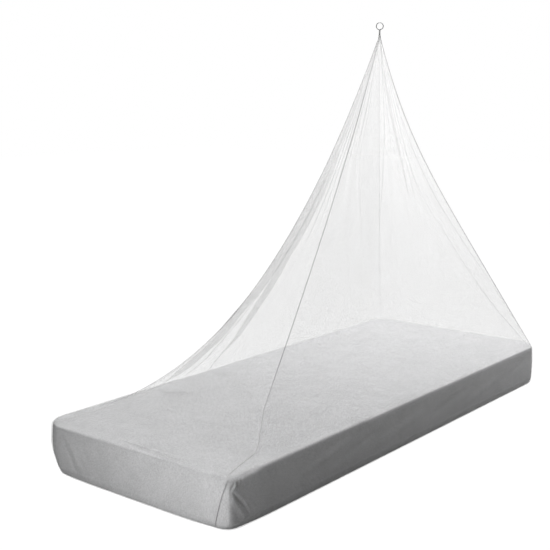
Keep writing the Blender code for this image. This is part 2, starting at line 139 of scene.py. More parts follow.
# Relief of the cover: height and half width of its welt and the groove under it, depth of the
# groove as a share of the welt, scale, height and shift of its unevenness, and the heights
# between which the relief grows
WELT_BAND = (0.031, 0.0045)
GROOVE_BAND = (0.018, 0.0040)
GROOVE_SHARE = 0.3
UNEVENNESS = ((7.0, 0.0010, (3.1, 0.0, 0.0)), (26.0, 0.0004, (0.0, 0.0, 0.0)))
RELIEF_HEIGHTS = (0.004, 0.016)

# Seams: sides of the tape, its lift off the net, and columns of the net that show which way is out
SEAM_SIDES = 8
SEAM_LIFT = 0.0007
SEAM_COLUMNS = 3
# Width of the tape at the neck, how fast it widens from there, and the height where it ends
SEAM_NECK_WIDTH = 0.0007
SEAM_WIDENING = 0.012
SEAM_END_Z = 0.018

BINDING_SIDES = 32
BINDING_GAP = 0.0009
BINDING_FLARE = 0.0016
# Profile of the binding, out from its wall and up: a lip at its foot, turns over it that taper
# upwards, each rising by a part of its pitch, and a mouth at its top that dips on the inside
BINDING_LIP = ((0.0010, 0.0), (0.0012, 0.0009), (0.0009, 0.0032))
TURN_PROFILE = ((-0.0002, 0.0), (0.0002, 0.3), (0.0002, 0.7))
BINDING_MOUTH = ((-0.0005, -0.0012), (-0.0009, 0.0))
MOUTH_DIP = 0.0001
BINDING_TURNS = 9
BINDING_TURNS_Z = 0.0040
BINDING_ENDS = 0.0056
BINDING_WAIST = 0.0004
BINDING_TAPER = 0.0012

LOOP_SIDES = 12
LOOP_TOP_STEPS = 20
LOOP_LEG_STEPS = 12
LOOP_FOOT_STEPS = 12
LOOP_SQUARENESS = (0.4, 0.6)
RING_STEPS = 72
RING_WIRE_SIDES = 16
WELD_REACH = 0.0010
WELD_GROWTH = 1.16

# Heights between which the net's threads are painted paler towards the neck (painted light:
# darker low down, paler up by the neck), share of light that shines through them, scale and
# depth of each cloth's weave, and scale of its slubs as a share of that
PAINTED_LIGHT_HEIGHTS = (0.25, 1.15)
THREAD_GLOW = 0.45
COVER_WEAVE = (900.0, 0.0004)
TAPE_WEAVE = (2400.0, 0.0002)
LOOP_WEAVE = (2000.0, 0.0003)
SLUB_SHARE = 0.30
# Angle past which an edge of the binding or the ring stays sharp, in degrees
SMOOTH_ANGLE = 50.0

# Lights by name: place, aim and width
LIGHTS = (
    ("key", (1.45, 0.50, 3.3), (0.4, 0.1, 0.2), 3.1),
    ("side", (-1.90, -0.40, 0.38), (-0.95, -0.2, 0.1), 0.45),
    ("fill", (2.0, -1.9, 0.8), (0.9, -0.4, 0.1), 0.9),
)
# Strength of the surround as a light and to look at
SURROUND_STRENGTHS = (0.01, 1.0)
FLOOR_REACH = 14.0
# Camera: place in metres, turn and dip in degrees, and width of its sensor in millimetres
CAMERA_PLACE = (-2.954, -2.145, 1.206)
CAMERA_TURN = 51.16
CAMERA_DIP = 10.18
CAMERA_SENSOR = 36.0

# Sides of the bed, counter-clockwise from above: unit vectors in plan out from the side and
# along it, and the half size of the mattress that out measures.
SIDES = {
    "foot": {"out": (-1.0, 0.0), "along": (0.0, -1.0), "reach": MATTRESS_LENGTH / 2},
    "right": {"out": (0.0, -1.0), "along": (1.0, 0.0), "reach": MATTRESS_WIDTH / 2},
    "head": {"out": (1.0, 0.0), "along": (0.0, 1.0), "reach": MATTRESS_LENGTH / 2},
    "left": {"out": (0.0, 1.0), "along": (-1.0, 0.0), "reach": MATTRESS_WIDTH / 2},
}
CORNERS = (
    # first side, second side, node of the seam between them, its width as a share of the usual
    ("foot", "right", "seam_foot_right", 1.0),
    ("right", "head", "seam_head_right", 1.3),
    ("head", "left", "seam_head_left", 0.4),
    ("left", "foot", "seam_foot_left", 0.5),
)

# How each panel falls. share: place along the panel from its first seam to its second. lie:
# length that lies on the mattress before the edge. grip: 0 lands on the flat top, 1 lands on
# the rounded edge without a kink. straight: 1 is a taut line from the neck. power: how fast
# the rest of the fall sags away from that line.
FALL_COLUMNS = ("share", "lie", "grip", "straight", "power")
FALL = {
    "foot": (
        (0.00, 0.004, 0.0, 0.06, 2.36),
        (0.25, 0.120, 0.0, 0.27, 2.45),
        (0.55, 0.150, 0.0, 0.50, 2.60),
        (0.85, 0.140, 0.0, 0.76, 2.85),
        (1.00, 0.125, 0.0, 0.88, 3.00),
    ),
    "right": (
        (0.00, 0.125, 0.0, 0.88, 3.00),
        (0.08, 0.040, 0.0, 0.79, 3.00),
        (0.20, 0.006, 0.3, 0.64, 3.00),
        (0.35, 0.004, 1.0, 0.57, 3.00),
        (0.67, 0.004, 1.0, 0.54, 3.00),
        (0.88, 0.004, 1.0, 0.62, 3.40),
        (1.00, 0.004, 1.0, 0.845, 7.00),
    ),
    "head": (
        (0.00, 0.004, 1.0, 0.845, 7.00),
        (0.20, 0.004, 1.0, 0.68, 3.60),
        (0.50, 0.004, 1.0, 0.64, 3.40),
        (0.80, 0.004, 1.0, 0.68, 3.60),
        (1.00, 0.004, 1.0, 0.88, 5.80),
    ),
    "left": (
        (0.00, 0.004, 1.0, 0.88, 5.80),
        (0.12, 0.004, 1.0, 0.62, 3.40),
        (0.33, 0.004, 1.0, 0.54, 3.00),
        (0.50, 0.004, 1.0, 0.48, 2.70),
        (0.60, 0.004, 1.0, 0.40, 2.40),
        (0.72, 0.006, 0.6, 0.26, 2.30),
        (0.86, 0.004, 0.3, 0.12, 2.32),
        (1.00, 0.004, 0.0, 0.06, 2.36),
    ),
}


def z_pleat(take, stand, *path):
    """Pleat in which the cloth doubles back on itself in a flat Z from the neck down.

    take is the share of the panel's cloth drawn into each half of it, and stand how far its
    layers stand apart. path rows say where it runs: fall and place, in thousandths of the free
    fall and of the panel, and the half width of the overlap in tenths of a millimetre, which is 0
    where the pleat has opened out.
    """
    rows = [(fall / 1000, place / 1000, half / TENTHS) for fall, place, half in path]
    return {"take": take, "stand": stand, "path": rows, "centre": rows[-1][1]}


PLEATS = {
    "foot": (
        z_pleat(0.01, 0.0015, (0, 350, 8), (100, 350, 12), (300, 340, 8), (380, 335, 3),
                (480, 330, 0)),
        z_pleat(0.01, 0.0015, (0, 720, 8), (100, 720, 10), (220, 730, 7), (300, 735, 3),
                (400, 740, 0)),
    ),
    "right": (
        z_pleat(0.004, 0.001, (0, 110, 6), (220, 112, 6), (270, 130, 5), (325, 186, 5),
                (380, 226, 4), (475, 262, 3), (560, 278, 0)),
        z_pleat(0.005, 0.001, (0, 500, 8), (150, 480, 8), (220, 437, 7), (340, 395, 5),
                (440, 384, 4), (540, 380, 0)),
        z_pleat(0.026, 0.004, (0, 520, 14), (50, 600, 50), (100, 680, 65), (150, 715, 60),
                (200, 730, 35), (240, 742, 14), (300, 730, 6), (380, 708, 3), (500, 690, 0)),
        z_pleat(0.006, 0.0012, (0, 840, 8), (220, 840, 8), (310, 870, 9), (360, 899, 9),
                (420, 922, 8), (550, 927, 8), (700, 932, 9), (810, 941, 10), (900, 955, 10),
                (970, 966, 8), (1000, 970, 0)),
        z_pleat(0.003, 0.001, (0, 950, 6), (100, 955, 10), (350, 962, 10), (600, 972, 8),
                (850, 984, 9), (970, 988, 8), (1000, 990, 0)),
    ),
    "head": (
        z_pleat(0.008, 0.0015, (0, 300, 8), (200, 300, 14), (450, 310, 8), (620, 320, 3),
                (800, 330, 0)),
        z_pleat(0.008, 0.0015, (0, 660, 8), (200, 660, 14), (380, 660, 8), (550, 660, 3),
                (700, 660, 0)),
    ),
    "left": (
        z_pleat(0.005, 0.0012, (0, 250, 6), (100, 270, 8), (200, 320, 7), (240, 295, 6),
                (320, 208, 6), (410, 150, 5), (490, 118, 4), (600, 98, 0)),
        z_pleat(0.04, 0.006, (0, 680, 12), (60, 720, 50), (120, 735, 90), (180, 750, 130),
                (230, 715, 190), (290, 705, 230), (360, 735, 230), (420, 765, 240),
                (500, 745, 230), (580, 735, 210), (670, 700, 180), (760, 660, 120),
                (850, 640, 60), (930, 620, 30), (1000, 600, 0)),
        z_pleat(0.008, 0.0015, (0, 790, 4), (480, 840, 6), (556, 836, 24), (660, 803, 28),
                (720, 783, 26), (800, 745, 22), (900, 715, 12), (1000, 685, 0)),
        z_pleat(0.04, 0.006, (0, 860, 12), (60, 870, 50), (120, 870, 90), (200, 860, 150),
                (300, 860, 210), (380, 880, 230), (460, 890, 230), (520, 920, 240),
                (600, 895, 240), (680, 890, 240), (740, 870, 260), (800, 848, 190),
                (860, 820, 75), (910, 795, 22), (950, 775, 8), (1000, 760, 0)),
        z_pleat(0.008, 0.0015, (0, 975, 4), (200, 965, 10), (500, 965, 20), (700, 955, 22),
                (880, 940, 16), (1000, 920, 0)),
    ),
}
# Half width at which a pleat is fully folded, and at which it counts as folded at all
PLEAT_SOFTNESS = 0.0030
PLEAT_START = 0.0006
# Cloth that a pleat draws in for its overlap, least stand of its layers, their stand as a share
# of its half width, and the fall over which they come apart
PLEAT_OVERLAP = 1.5
LEAST_STAND = 0.0012
STAND_SHARE = 0.25
STAND_FALL = 0.12
# Parts of a pleat's take that get a column of cloth, and the least gap between columns as a
# share of their usual one
PLEAT_PARTS = (-1.0, -1 / 3, -0.22, 0.0, 0.22, 1 / 3, 1.0)
LEAST_GAP = 0.2

# Soft waves of the free cloth: waves along the panel, lift in metres, fall where they are
# highest and how far they reach from there. They fade over the ends of a panel and the last of
# the fall.
WAVES = {
    "foot": ((5.0, 0.0035, 0.30, 0.30), (9.0, 0.0016, 0.22, 0.20)),
    "right": ((7.0, 0.0040, 0.32, 0.30), (13.0, 0.0018, 0.22, 0.18)),
    "head": ((5.0, 0.0035, 0.32, 0.30), (9.0, 0.0016, 0.22, 0.20)),
    "left": ((7.0, 0.0040, 0.32, 0.30), (13.0, 0.0018, 0.22, 0.18)),
}
WAVE_ENDS = 0.06
WAVE_STOP = 0.75
WAVE_BEND = 0.35
WAVE_BEND_RATE = 5.0
# Shift of one wave from the next of its panel, and of one panel from the next
WAVE_SHIFT = 1.7
PANEL_SHIFT = 2.3

# Soft ridges and troughs of the cover, each from one point to another in millimetres, with its
# half width and its height off the surface (below 0 for a trough) in tenths of one.
CREASES = (
    # gathers at the top of the near corner
    (-969, -406, 162, -984, -406, 147, 36, 36), (-966, -406, 158, -975, -406, 146, 30, -30),
    (-974, -406, 147, -988, -406, 132, 30, -30), (-961, -406, 162, -967, -406, 146, 34, 36),
    (-966, -406, 148, -972, -406, 134, 34, 36), (-971, -406, 136, -986, -406, 127, 34, 34),
    (-956, -406, 160, -961, -406, 138, 32, -28), (-949, -406, 161, -954, -406, 142, 36, 34),
    (-943, -406, 158, -948, -406, 142, 36, -22), (-936, -406, 160, -941, -406, 146, 40, 20),
    # slack along the top edge beside them
    (-955, -402, 164, -850, -402, 165, 80, -26),
    # upright ridge of the near corner
    (-987, -399, 150, -986, -398, 30, 30, 14),
    # folds that run down from the near corner along the near side
    (-973, -406, 129, -932, -406, 92, 40, 32), (-934, -406, 94, -913, -406, 56, 42, 30),
    (-975, -406, 123, -926, -406, 68, 34, -34), (-928, -406, 70, -908, -406, 42, 36, -28),
    (-984, -406, 115, -958, -406, 76, 68, 26), (-960, -406, 80, -928, -406, 37, 66, 30),
    (-982, -406, 84, -955, -406, 40, 60, -10), (-932, -406, 101, -904, -406, 73, 45, 18),
    (-906, -406, 76, -880, -406, 49, 50, 18), (-950, -406, 122, -850, -406, 46, 70, -14),
    # near side
    (-680, -406, 82, -400, -406, 130, 130, 24), (-540, -406, 66, -220, -406, 116, 130, -20),
    (-300, -406, 60, 50, -406, 108, 150, 20), (50, -406, 74, 400, -406, 120, 150, -18),
    (350, -406, 60, 620, -406, 102, 130, 18), (660, -406, 80, 860, -406, 128, 110, -18),
    # foot side
    (-996, 292, 140, -996, 228, 30, 90, -26), (-996, 266, 142, -996, 198, 28, 90, 26),
    (-996, 214, 150, -996, 176, 80, 80, -18), (-996, 60, 120, -996, -60, 60, 140, -12),
    # wavy ridges on the top beside the foot edge
    (-951, 56, 166, -953, 4, 166, 40, 33), (-952, 12, 166, -955, -36, 166, 42, 51),
    (-954, -28, 166, -964, -68, 166, 42, 54), (-962, -62, 166, -950, -84, 166, 38, 51),
    (-950, -78, 166, -964, -116, 166, 42, 57), (-962, -108, 166, -984, -156, 166, 40, 51),
    (-980, -148, 166, -987, -204, 165, 40, 45), (-957, -110, 166, -953, -136, 166, 36, 39),
    (-953, -130, 166, -967, -166, 166, 36, 42), (-965, -160, 166, -958, -198, 166, 36, 39),
    (-960, -192, 166, -987, -236, 166, 36, 33),
    # tight line along the foot edge, and the folds between it and the ridges
    (-988, -10, 164, -991, -190, 164, 36, 22), (-970, -10, 166, -977, -120, 166, 70, -22),
    (-934, -10, 166, -936, -160, 166, 80, -20), (-980, -320, 165, -974, -382, 165, 40, 22),
    (-966, -330, 166, -960, -372, 166, 50, -14), (-908, 170, 166, -902, 60, 166, 80, 14),
    # head and left sides
    (996, -250, 130, 996, -120, 50, 100, 22), (996, 90, 140, 996, 230, 60, 100, -22),
    (-620, 406, 120, -300, 406, 70, 140, 20), (120, 406, 60, 460, 406, 122, 140, -20),
)
# Part of a crease's length over which it rises, from each end
CREASE_FADE = (-0.05, 0.25)


# ---- Settings ----


def colour_setting(name, description, default):
    """Colour that a user may change."""
    return FloatVectorProperty(
        name=name, description=description, default=default,
        subtype="COLOR", size=3, min=0.0, max=1.0)


def length_setting(name, description, default):
    """Length in metres that a user may change."""
    return FloatProperty(name=name, description=description, default=default, unit="LENGTH")


def share_setting(name, description, default, least=0.0, most=1.0):
    """Share of something, between two limits."""
    return FloatProperty(
        name=name, description=description, default=default,
        min=least, max=most, subtype="FACTOR")


def power_setting(name, description, default):
    """Power of a light in watts."""
    return FloatProperty(name=name, description=description, default=default, unit="POWER")


class CanopyNetSettings(bpy.types.PropertyGroup):
    """Sizes and colours of the net."""

    columns_per_metre: IntProperty(
        name="Columns per metre",
        description="Columns of cloth along a metre of the hem",
        default=150,
        min=30,
        max=300,
    )
    mesh_pitch: length_setting("Mesh pitch", "Distance between the net's threads", 0.0016)
    thread_share: share_setting(
        "Thread share", "Width of a thread as a share of the pitch", 0.17, 0.02, 0.6)
    thread_opacity: share_setting("Thread opacity", "How opaque a thread is", 0.50)
    hole_opacity: share_setting(
        "Hole opacity", "Haze across the holes from the thread's fine fibres", 0.03)
    # Painted light and shade by height: the threads go from this darker colour low down to the
    # paler top colour near the neck
    colour: colour_setting("Thread colour", "Colour of the net's threads", (0.44, 0.44, 0.44))
    painted_light_top_colour: colour_setting(
        "Top colour", "Paler colour of the threads near the neck", (0.92, 0.92, 0.92))


class CanopyTapeSettings(bpy.types.PropertyGroup):
    """Sizes and colours of the seam tapes, the binding, the loop and the ring."""

    seam_width: length_setting(
        "Seam width", "Width of the bound seams between the panels", 0.0017)
    seam_thickness: length_setting("Seam thickness", "Thickness of the bound seams", 0.0010)
    colour: colour_setting("Tape colour", "Colour of the tape", (0.20, 0.20, 0.205))
    # Painted light: the tape is painted paler where it lies over the lit top of the bed than where
    # it hangs
    painted_light_tape_colour: colour_setting(
        "Pale tape colour", "Colour of the tape where it lies over the bed", (0.55, 0.55, 0.55))
    loop_colour: colour_setting("Loop colour", "Colour of the tape loop", (0.80, 0.80, 0.80))
    binding_colour: colour_setting(
        "Binding colour", "Colour of the binding round the neck", (0.92, 0.92, 0.92))
    binding_opacity: share_setting(
        "Binding opacity", "How opaque the binding's strip of doubled net is", 0.40)
    ring_colour: colour_setting("Ring colour", "Colour of the ring's metal", (0.36, 0.365, 0.37))


class CanopyMattressSettings(bpy.types.PropertyGroup):
    """Sizes and colours of the mattress in its cover."""

    welt_height: length_setting(
        "Welt height", "How far the edge seams under the cover stand out", 0.0006)
    colour: colour_setting("Cover colour", "Colour of the mattress cover", (0.46, 0.46, 0.465))


class CanopyStageSettings(bpy.types.PropertyGroup):
    """Light and camera."""

    lens: FloatProperty(name="Lens", description="Focal length in millimetres", default=66.26)
    key_power: power_setting("Key light", "Power of the large light over the bed", 288.0)
    side_power: power_setting("Side light", "Power of the light beyond the foot end", 10.4)
    fill_power: power_setting(
        "Fill light", "Power of the light on the near side at the head end", 9.8)


# ---- Cloth over the mattress ----


def smooth_step(low, high, value):
    """0 below low, 1 above high, and a soft ramp between them."""
    t = np.clip((value - low) / (high - low), 0.0, 1.0)
    return t * t * (3.0 - 2.0 * t)


def fall_value(side, share, name):
    """Values of one column of a panel's fall table at places along the panel."""
    rows = FALL[side]
    column = FALL_COLUMNS.index(name)
    return np.interp(share, [row[0] for row in rows], [row[column] for row in rows])


def half_runs(side):
    """Half of a side's straight run, and that with half a rounded corner added."""
    across = MATTRESS_WIDTH if side in ("foot", "head") else MATTRESS_LENGTH
    straight = across / 2 - CORNER_RADIUS
    return straight, straight + CORNER_RADIUS * math.pi / 4


def fullness(angle, power):
    """How far a full round stands out beyond a circle's quarter, as a factor."""
    side, rise = np.abs(np.sin(angle)), np.abs(np.cos(angle))
    return (side ** power + rise ** power) ** (-1.0 / power)


def beside_corner(side, sign, corner):
    """Whether points lie on the half of a side that runs up to a corner."""
    before, after = corner
    return ((side == before) & (sign > 0)) | ((side == after) & (sign < 0))


def corner_reach(side, share, corner):
    """1 at a corner's seam, falling to 0 along the two sides beside it."""
    before, after = corner
    total = 2.0 * half_runs(side)[1]
    if side == before:
        away = (1.0 - share) * total
    elif side == after:
        away = share * total
    else:
        return np.zeros_like(share)
    return np.exp(-((away / CORNER_REACH) ** 2))


def edge_fullness(side, share):
    """Fullness of the top edge: crisp, and rounder by the near corner."""
    near = corner_reach(side, share, NEAR_CORNER)
    return EDGE_FULLNESS - (EDGE_FULLNESS - NEAR_EDGE_FULLNESS) * near


def foot_fullness(side, share):
    """Fullness of the underside's edge: crisp, and rounder by the corners of the foot end."""
    near = corner_reach(side, share, NEAR_CORNER)
    far = corner_reach(side, share, FAR_CORNER)
    rounder = (FOOT_FULLNESS - NEAR_FOOT_FULLNESS) * near
    return FOOT_FULLNESS - np.maximum(rounder, (FOOT_FULLNESS - FAR_FOOT_FULLNESS) * far)


def outline(side, share, z=MATTRESS_TOP):
    """Points on the mattress's outline at a height, and their outward normals, in plan."""
    straight, total = half_runs(side)
    travel = (2.0 * share - 1.0) * total
    sign = np.sign(travel)
    angle = np.maximum(np.abs(travel) - straight, 0.0) / CORNER_RADIUS
    along, out = np.array(SIDES[side]["along"]), np.array(SIDES[side]["out"])
    normal = (sign * np.sin(angle))[:, None] * along + np.cos(angle)[:, None] * out
    run = np.clip(travel, -straight, straight)
    centre = run[:, None] * along + out * (SIDES[side]["reach"] - CORNER_RADIUS)
    power = np.full(len(angle), 2.0)
    for corner, (low, high, rise) in CORNER_SHAPES.items():
        drawn_in = low + (high - low) * smooth_step(0.0, rise, z)
        power = np.where(beside_corner(side, sign, corner), drawn_in, power)
    radius = CORNER_RADIUS * fullness(angle, power)
    return centre + normal * radius[:, None], normal


def bulge_at(z):
    """How far the mattress's side stands out at a height."""
    middle = MATTRESS_TOP / 2
    rise = np.minimum(np.abs(z - middle) / middle, 1.0)
    return SIDE_BULGE * (1.0 - rise * rise)


def edge_section(cover, start_angle, high_fullness, low_fullness, arc_steps, side_steps):
    """Section of the mattress's edge under a layer that is cover thick.

    Gives distances out from the side and heights, from the top edge to the underside, as rows
    by columns: each column has its own start_angle and fullness of the top and the lower edge.
    """
    upper, lower = MATTRESS_TOP - TOP_EDGE_RADIUS, UNDERSIDE_GAP + BOTTOM_EDGE_RADIUS
    turn = np.linspace(0.0, 1.0, arc_steps + 1)[:, None]
    high_angle = start_angle + (math.pi / 2 - start_angle) * turn
    high_radius = (TOP_EDGE_RADIUS + cover) * fullness(high_angle, high_fullness)
    low_angle = math.pi / 2 * turn
    low_radius = (BOTTOM_EDGE_RADIUS + cover) * fullness(low_angle, low_fullness)
    down = np.arange(1, side_steps)[:, None] / side_steps * np.ones_like(start_angle)
    outs = np.concatenate((
        -TOP_EDGE_RADIUS + high_radius * np.sin(high_angle),
        np.full_like(down, cover),
        -BOTTOM_EDGE_RADIUS + low_radius * np.cos(low_angle)))
    heights = np.concatenate((
        upper + high_radius * np.cos(high_angle),
        upper + (lower - upper) * down,
        lower - low_radius * np.sin(low_angle)))
    return outs + bulge_at(heights), heights


def landing(side, share):
    """Where the net meets the rounded edge, and how steeply it arrives there."""
    lie = fall_value(side, share, "lie")
    straight = fall_value(side, share, "straight")
    point, normal = outline(side, share)
    start = point - normal * TOP_EDGE_RADIUS
    inward = NECK_AXIS - start
    distance = np.linalg.norm(inward, axis=1)
    inward = inward / distance[:, None]
    slant = np.maximum(LEAST_SLANT, -(inward * normal).sum(1))
    drop = SPLAY_Z - MATTRESS_TOP
    grip = fall_value(side, share, "grip")
    angle = grip * np.arctan(straight * drop / (distance * slant))
    radius = (TOP_EDGE_RADIUS + NET_LIFT) * fullness(angle, edge_fullness(side, share))
    edge = point + normal * (-TOP_EDGE_RADIUS + radius * np.sin(angle))[:, None]
    height = MATTRESS_TOP - TOP_EDGE_RADIUS + radius * np.cos(angle)
    touch = edge + inward * lie[:, None]
    return angle, edge, height, touch, height + np.tan(angle) * slant * lie


def neck_points(side, share):
    """Places of a panel's thread lines round the gathered tube at the neck."""
    out = SIDES[side]["out"]
    angle = math.atan2(out[1], out[0]) + (share - 0.5) * math.pi / 2 * NECK_PANEL_SHARE
    return NECK_AXIS + NECK_RADIUS * np.stack((np.cos(angle), np.sin(angle)), axis=1)


def fall_points(side, share, fall):
    """Points of the free-hanging cloth at one share of its fall."""
    straight = fall_value(side, share, "straight")
    power = fall_value(side, share, "power")
    touch, touch_z = landing(side, share)[3:]
    level = straight * (1.0 - fall) + (1.0 - straight) * (1.0 - fall) ** power
    drop = smooth_step(SEAM_DROP_START, SEAM_DROP_END, np.array(fall))
    level = level * (1.0 - drop * corner_reach(side, share, NEAR_CORNER))
    plan = neck_points(side, share) * (1.0 - fall) + touch * fall
    return np.column_stack((plan, touch_z + (SPLAY_Z - touch_z) * level))


def bed_points(side, share):
    """Rows of points where the net lies on the mattress, from its landing to the hem."""
    angle, edge, height, touch, touch_z = landing(side, share)
    drift = SEAM_DRIFT * corner_reach(side, share, NEAR_CORNER) / (2.0 * half_runs(side)[1])
    rows = []
    for i in range(1, LIE_STEPS):
        part = i / LIE_STEPS
        plan = touch * (1.0 - part) + edge * part
        rows.append(np.column_stack((plan, touch_z * (1.0 - part) + height * part)))
    outs, heights = edge_section(
        NET_LIFT, angle, edge_fullness(side, share), foot_fullness(side, share),
        NET_ARC_STEPS, NET_SIDE_STEPS)
    for out, z in zip(outs, heights):
        low = np.clip((MATTRESS_TOP - z) / MATTRESS_TOP, 0.0, 1.0) ** DRIFT_POWER
        point, normal = outline(side, share - drift * low, z)
        rows.append(np.column_stack((point + normal * out[:, None], z)))
    for part in HEM_INSETS:
        plan = point - normal * TUCK_DEPTH * part
        rows.append(np.column_stack((plan, np.full(len(share), NET_HEM_Z))))
    return rows


def unit(vectors):
    """Vectors scaled to length one along the last axis."""
    length = np.linalg.norm(vectors, axis=-1, keepdims=True)
    return vectors / np.maximum(length, 1e-12)


def pleat_state(pleat, fall, row_width):
    """Place, half overlap as a share of the row, and strength of a pleat at a fall."""
    falls, places, halves = zip(*pleat["path"])
    place = float(np.interp(fall, falls, places))
    half = float(np.interp(fall, falls, halves))
    strength = float(smooth_step(0.0, 1.0, np.array(min(half / PLEAT_SOFTNESS, 1.0))))
    if half > 0.0:
        strength = max(strength, min(half / PLEAT_START, 1.0))
    return place, half / max(row_width, 1e-4), strength


def close_places(side):
    """Places along a side: a wide step apart, and a close one beside the near corner."""
    total = 2.0 * half_runs(side)[1]
    places = [0.0]
    while places[-1] < 1.0:
        near = float(corner_reach(side, np.array(places[-1]), NEAR_CORNER))
        step = WIDE_STEP + (CLOSE_STEP - WIDE_STEP) * near
        places.append(places[-1] + step / total)
    return np.array(places[:-1])


def cloth_columns(side, count):
    """Shares of the panel's cloth at its columns, with a column on every crease of a pleat."""
    places = set(np.round(np.linspace(0.0, 1.0, count + 1), 5))
    places |= set(np.round(close_places(side), 5))
    for pleat in PLEATS[side]:
        centre, take = pleat["centre"], pleat["take"]
        for part in PLEAT_PARTS:
            places.add(round(centre + take * part, 5))
    ordered = sorted(places)
    kept = [ordered[0]]
    for place in ordered[1:]:
        if place - kept[-1] > LEAST_GAP / count or place == 1.0:
            kept.append(place)
    return np.array(kept)


def pleated_row(side, cloth, fall, row_width):
    """Places along the panel of its cloth at one fall, and the lift off it."""
    cloth_knots, place_knots, lift_knots = [0.0], [0.0], [0.0]
    for pleat in PLEATS[side]:
        place, half, strength = pleat_state(pleat, fall, row_width)
        centre, take = pleat["centre"], pleat["take"]
        outer = take * (1.0 - strength) + max(take, half * PLEAT_OVERLAP) * strength
        inner = take / 3 * (1.0 - strength) - half * strength
        stand = min(pleat["stand"], max(LEAST_STAND, half * row_width * STAND_SHARE))
        lift = stand * strength * min(fall / STAND_FALL, 1.0)
        cloth_knots += [centre - take, centre - take / 3, centre + take / 3, centre + take]
        place_knots += [place - outer, place - inner, place + inner, place + outer]
        lift_knots += [0.0, lift, -lift, 0.0]
    cloth_knots.append(1.0)
    place_knots.append(1.0)
    lift_knots.append(0.0)
    share = np.interp(cloth, cloth_knots, place_knots)
    return share, np.interp(cloth, cloth_knots, lift_knots)


def wave_lift(side, cloth, fall):
    """Lift of the soft waves in the free cloth."""
    lift = np.zeros_like(cloth)
    for i, (count, height, middle, reach) in enumerate(WAVES[side]):
        window = math.exp(-(((fall - middle) / reach) ** 2))
        phase = WAVE_SHIFT * i + PANEL_SHIFT * len(side)
        bend = WAVE_BEND * math.sin(WAVE_BEND_RATE * fall + phase)
        lift += height * window * np.sin(2.0 * math.pi * (count * cloth + bend) + phase)
    ends = smooth_step(0.0, WAVE_ENDS, cloth) * smooth_step(0.0, WAVE_ENDS, 1.0 - cloth)
    return lift * ends * (1.0 - smooth_step(WAVE_STOP, 1.0, np.array(fall)))


def net_rows(side, cloth):
    """The panel as rows by columns of points, from the neck to the hem."""
    rows = [np.column_stack((neck_points(side, cloth), np.full(len(cloth), NECK_TOP_Z)))]
    steps = np.linspace(0.0, 1.0, FALL_ROWS)
    falls = (1.0 - NECK_CROWDING) * steps + NECK_CROWDING * steps ** CROWDING_POWER
    for fall in map(float, falls):
        smooth = fall_points(side, cloth, fall)
        width = float(np.linalg.norm(np.diff(smooth, axis=0), axis=1).sum())
        share, lift = pleated_row(side, cloth, fall, width)
        share = np.clip(share, 0.0, 1.0)
        points = fall_points(side, share, fall)
        lift = lift + wave_lift(side, cloth, fall)
        across = (fall_points(side, share + SLOPE_STEP, fall)
                  - fall_points(side, share - SLOPE_STEP, fall))
        down = (fall_points(side, share, min(fall + SLOPE_STEP, 1.0))
                - fall_points(side, share, max(fall - SLOPE_STEP, 0.0)))
        normal = unit(np.cross(down, across))
        rows.append(points + normal * lift[:, None])
    free = len(rows)
    grid = np.array(rows + bed_points(side, cloth))
    on_bed = grid[free - 1:]
    across, down = np.gradient(on_bed, axis=1), np.gradient(on_bed, axis=0)
    normals = unit(np.cross(down, across))[1:]
    lift = crease_lift(on_bed[1:].reshape(-1, 3)).reshape(normals.shape[:2])
    grid[free:] += normals * lift[:, :, None]
    return grid


def crease_lift(points):
    """Height of the cover's soft ridges and troughs at points of its surface."""
    lift = np.zeros(len(points))
    for *ends, width, height in CREASES:
        start, end = np.array(ends[:3]) / MILLIMETRES, np.array(ends[3:]) / MILLIMETRES
        width, height = width / TENTHS, height / TENTHS
        run = end - start
        along = np.clip((points - start) @ run / (run @ run), 0.0, 1.0)
        off = np.linalg.norm(points - start - along[:, None] * run, axis=1)
        fade = smooth_step(*CREASE_FADE, along) * smooth_step(*CREASE_FADE, 1.0 - along)
        lift += height * fade * np.exp(-((off / width) ** 2))
    return lift


def cover_relief(points, welt):
    """Height of the cover off the plain mattress: welts, creases and faint unevenness."""
    z = points[:, 2]
    ridge, groove = (np.exp(-(((z - middle) / half) ** 2))
                     for middle, half in (WELT_BAND, GROOVE_BAND))
    lift = welt * ridge
    lift -= GROOVE_SHARE * welt * groove
    lift += crease_lift(points)
    for i, point in enumerate(points):
        place = Vector(point)
        for scale, height, shift in UNEVENNESS:
            lift[i] += height * noise.noise(place * scale + Vector(shift))
    return lift * smooth_step(*RELIEF_HEIGHTS, z)


# ---- Mesh helpers ----


def new_mesh(name, vertices, faces):
    """Smooth mesh object with no material yet."""
    mesh = bpy.data.meshes.new(name)
    mesh.from_pydata([tuple(map(float, v)) for v in vertices], [], faces)
    mesh.shade_smooth()
    made = bpy.data.objects.new(name, mesh)
    bpy.context.scene.collection.objects.link(made)
    return made


def grid_faces(rows, columns, wrap=False):
    """Quads of a grid of rows by columns of vertices."""
    faces = []
    for i in range(rows - 1):
        for j in range(columns if wrap else columns - 1):
            k = (j + 1) % columns
            faces.append((i * columns + j, i * columns + k,
                          (i + 1) * columns + k, (i + 1) * columns + j))
    return faces


def swept_mesh(name, loops, closed=False):
    """Mesh through loops of points, either closed on itself or with a face at each end."""
    count, sides = len(loops), len(loops[0])
    faces = grid_faces(count, sides, wrap=True)
    first, last = range(sides), range((count - 1) * sides, count * sides)
    if closed:
        faces += [(last[i], last[i - sides + 1], first[i - sides + 1], i) for i in first]
    else:
        faces += [tuple(first), tuple(last)]
    made = new_mesh(name, [point for loop in loops for point in loop], faces)
    face_outward(made)
    return made


def face_outward(made):
    """Turn the faces of a closed mesh outward."""
    work = bmesh.new()
    work.from_mesh(made.data)
    bmesh.ops.recalc_face_normals(work, faces=work.faces)
    work.to_mesh(made.data)
    work.free()


